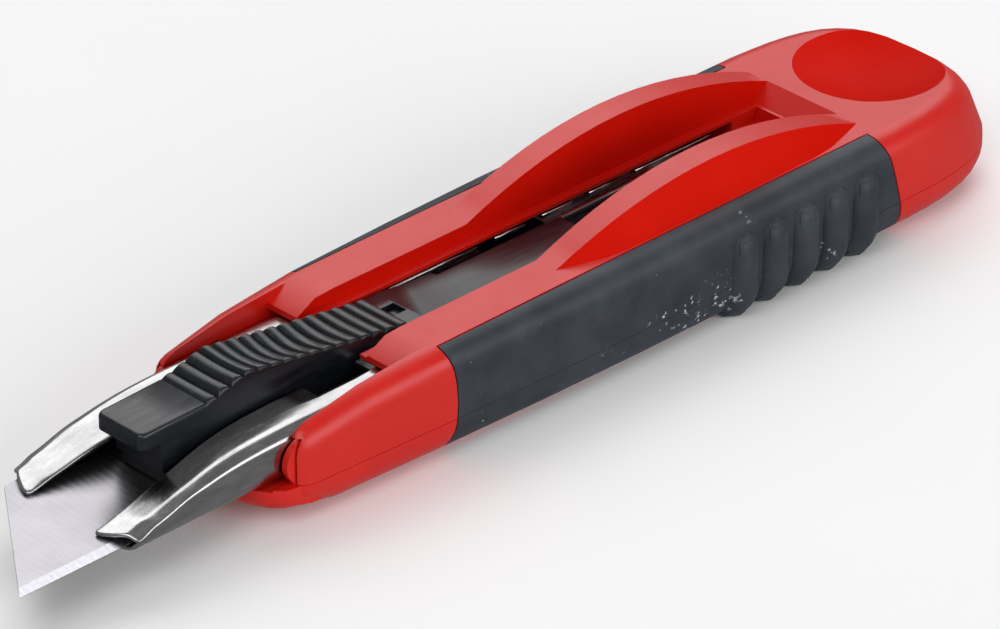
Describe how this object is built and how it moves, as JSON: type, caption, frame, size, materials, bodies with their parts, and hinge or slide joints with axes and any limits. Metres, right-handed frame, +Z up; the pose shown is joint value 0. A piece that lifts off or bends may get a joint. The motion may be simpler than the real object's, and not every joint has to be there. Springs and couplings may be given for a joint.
{
  "type": "retractable utility knife",
  "caption": "Retractable cutter: ribbed thumb slide moves a trapezoid blade in a steel channel inside a two-shell handle with soft grips, arched fins and a hinged spare-blade hatch",
  "frame": {"origin": "on the flat underside, under the middle of the whole knife", "axes": "+X runs back along the knife from the blade's point to the handle's rounded end, +Y across it with the cutting edge at -Y, +Z up through the thumb slide"},
  "size_m": [0.161, 0.0336, 0.0201],
  "materials": {
    "red_abs": "satin-gloss moulded ABS",
    "soft_grip": "matte soft thermoplastic rubber",
    "black_nylon": "smooth black nylon",
    "channel_steel": "bright rolled stainless sheet",
    "blade_steel": "ground and polished carbon steel",
    "spring_steel": "spring strip",
    "zinc_steel": "zinc-plated"
  },
  "bodies": {
    "handle": {"upper_shell": "red_abs", "lower_shell": "red_abs", "upper_grip_left": "soft_grip", "upper_grip_right": "soft_grip", "lower_grip_left": "soft_grip", "lower_grip_right": "soft_grip", "blade_channel": "channel_steel", "hatch_pin": "zinc_steel", "channel_rivet_left": "zinc_steel", "channel_rivet_right": "zinc_steel", "shell_screw_front_left": "zinc_steel", "shell_screw_front_right": "zinc_steel", "shell_screw_rear": "zinc_steel"},
    "carriage": {"thumb_slide": "black_nylon", "blade_carrier": "black_nylon", "cutting_blade": "blade_steel", "detent_spring": "spring_steel"},
    "hatch": {"storage_hatch": "red_abs", "spare_blade_1": "blade_steel", "spare_blade_2": "blade_steel", "spare_blade_3": "blade_steel"}
  },
  "joints": [
    {"name": "blade_slide", "type": "slide", "parent": "handle", "child": "carriage", "axis": [1, 0, 0], "range_m": [0, 0.024]},
    {"name": "hatch_hinge", "type": "hinge", "parent": "handle", "child": "hatch", "pos_m": [0.0411, 0, 0.002], "axis": [0, -1, 0], "range_deg": [0, 100]}
  ]
}
